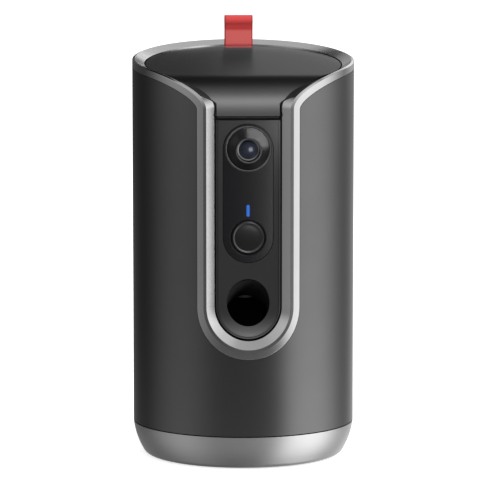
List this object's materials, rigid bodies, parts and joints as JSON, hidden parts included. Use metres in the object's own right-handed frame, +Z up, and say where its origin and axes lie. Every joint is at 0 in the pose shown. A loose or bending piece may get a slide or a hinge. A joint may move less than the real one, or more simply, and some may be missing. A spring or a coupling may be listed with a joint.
{
  "type": "treat tossing pet camera",
  "caption": "Round pet camera on a turning base, with a recessed front for camera, button and treat outlet, a slanted lift-off lid with a pull tab, and a treat hopper inside.",
  "frame": {"origin": "centre of the footprint, on the surface the rubber foot stands on", "axes": "+Z up along the turning axis; the camera and the treat outlet look towards -Y; +X is the viewer's right from the front"},
  "size_m": [0.125, 0.125, 0.2473],
  "materials": {
    "base_silver": "satin",
    "trim_metal": "satin",
    "shell_dark": "satin",
    "lid_dark": "satin",
    "panel_black": "satin",
    "window_gloss": "gloss",
    "lens_black": "satin",
    "lens_ring": "satin",
    "lens_glass": "gloss",
    "status_blue": "gloss",
    "button_dark": "satin",
    "tab_red": "matte",
    "rubber_dark": "matte",
    "plastic_inner": "matte",
    "plastic_treat": "satin",
    "plastic_white": "satin",
    "paddle_dark": "satin",
    "steel": "satin",
    "motor_steel": "satin",
    "board_green": "satin",
    "flex_amber": "satin",
    "electro_black": "matte"
  },
  "bodies": {
    "base": {"base_shell": "base_silver", "base_plate": "plastic_inner", "foot_ring": "rubber_dark", "base_screws": "steel", "ring_gear": "plastic_white", "bearing_lower_race": "steel", "bearing_balls": "steel", "power_board": "board_green", "power_socket": "steel", "slip_ring": "electro_black", "hub_washer": "steel", "hub_screws": "steel"},
    "turret": {"turntable": "plastic_inner", "bearing_upper_race": "steel", "pan_motor": "motor_steel", "motor_screws": "steel", "slip_ring_rotor": "electro_black", "slip_ring_bracket": "plastic_inner", "main_board": "board_green", "board_standoffs": "plastic_inner", "body_shell": "shell_dark", "trim_ring": "trim_metal", "visor_cheeks": "panel_black", "front_frame": "plastic_inner", "front_panel": "panel_black", "lens_panel": "window_gloss", "lens_bezel": "lens_ring", "lens_cone": "lens_black", "lens_barrel": "lens_black", "lens_glass": "lens_glass", "camera_board": "board_green", "camera_flex": "flex_amber", "status_light": "status_blue", "button_switch": "electro_black", "button_board": "board_green", "outlet_tube": "plastic_treat", "launcher_chamber": "plastic_treat", "launcher_motor": "motor_steel", "drop_chute": "plastic_treat", "dispenser_deck": "plastic_treat", "deck_posts": "plastic_inner", "wheel_cover": "plastic_treat", "dispenser_motor": "motor_steel", "hopper": "plastic_treat", "speaker": "electro_black"},
    "pan_pinion": {"pan_pinion": "plastic_white"},
    "button": {"button_cap": "button_dark"},
    "dispenser": {"dispenser_wheel": "plastic_white"},
    "paddle": {"launcher_paddle": "paddle_dark", "launcher_shaft": "steel", "launcher_gear": "plastic_white"},
    "launcher_pinion": {"launcher_pinion": "plastic_white"},
    "lid": {"lid_cover": "lid_dark", "lid_liner": "plastic_inner", "lid_seal": "rubber_dark", "tab_anchor": "tab_red"},
    "tab": {"pull_tab": "tab_red"}
  },
  "joints": [
    {"name": "pan", "type": "hinge", "parent": "base", "child": "turret", "pos_m": [0, 0, 0.016], "axis": [0, 0, 1], "continuous": true},
    {"name": "pan_pinion_spin", "type": "hinge", "parent": "turret", "child": "pan_pinion", "pos_m": [0, 0.03, 0.011], "axis": [0, 0, 1], "continuous": true},
    {"name": "lid_lift", "type": "slide", "parent": "turret", "child": "lid", "axis": [0, 0, 1], "range_m": [0, 0.06]},
    {"name": "tab_flex", "type": "hinge", "parent": "lid", "child": "tab", "pos_m": [0, 0.0529, 0.23089], "axis": [1, 0, 0], "range_deg": [-50, 80], "stiffness_Nm_per_rad": 0.02},
    {"name": "button_press", "type": "slide", "parent": "turret", "child": "button", "axis": [0, 1, 0], "range_m": [0, 0.001], "stiffness_N_per_m": 400, "springref_m": -0.001},
    {"name": "dispenser_spin", "type": "hinge", "parent": "turret", "child": "dispenser", "pos_m": [0, 0.014, 0.1355], "axis": [0, 0, 1], "continuous": true},
    {"name": "launcher_swing", "type": "hinge", "parent": "turret", "child": "paddle", "pos_m": [0, 0.00604, 0.09132], "axis": [-1, 0, 0], "range_deg": [0, 45]},
    {"name": "launcher_pinion_spin", "type": "hinge", "parent": "turret", "child": "launcher_pinion", "pos_m": [0.019, 0.03004, 0.09132], "axis": [-1, 0, 0], "range_deg": [-135, 0]}
  ],
  "couplings": [
    {"joint": "pan_pinion_spin", "follows": "pan", "ratio": -4},
    {"joint": "launcher_pinion_spin", "follows": "launcher_swing", "ratio": -3}
  ]
}
